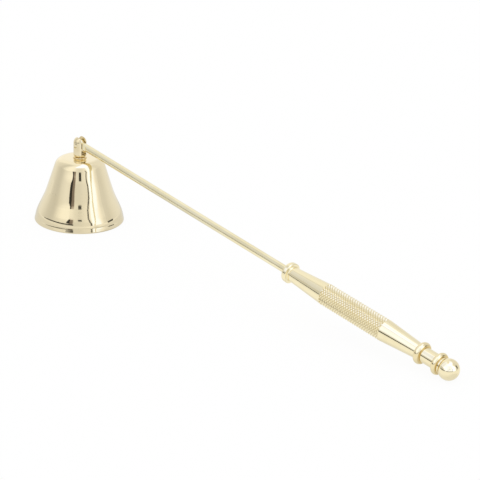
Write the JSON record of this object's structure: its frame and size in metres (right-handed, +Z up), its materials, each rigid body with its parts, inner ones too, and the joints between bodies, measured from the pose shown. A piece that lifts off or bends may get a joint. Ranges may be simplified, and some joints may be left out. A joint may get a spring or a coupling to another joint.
{
  "type": "candle snuffer",
  "caption": "Candle snuffer with a bell-shaped cup hinged in a forked post at the end of a long thin rod, and a turned, knurled handle that ends in a ball.",
  "frame": {"origin": "centre of the bell's rim, on the surface that the bell stands on", "axes": "+Z up along the bell's axis, +X from the bell towards the end of the handle, Y along the hinge pin"},
  "size_m": [0.214, 0.035, 0.0338],
  "materials": {
    "bell_brass": "polished, plated pale gold",
    "fork_brass": "polished, plated pale gold",
    "pin_brass": "polished, plated pale gold",
    "rod_brass": "polished, plated pale gold",
    "grip_brass": "polished and knurled, plated pale gold",
    "finial_brass": "polished, plated pale gold",
    "nut_steel": "plain zinc plated"
  },
  "bodies": {
    "bell": {"bell_shell": "bell_brass", "fork_post": "fork_brass", "foot_washer": "fork_brass", "hinge_pin": "pin_brass", "bell_nut": "nut_steel", "inner_washer": "nut_steel"},
    "handle": {"rod": "rod_brass", "grip": "grip_brass", "finial": "finial_brass"}
  },
  "joints": [
    {"name": "bell_hinge", "type": "hinge", "parent": "bell", "child": "handle", "pos_m": [0, 0, 0.0309], "axis": [0, -1, 0], "range_deg": [-19, 215]}
  ]
}
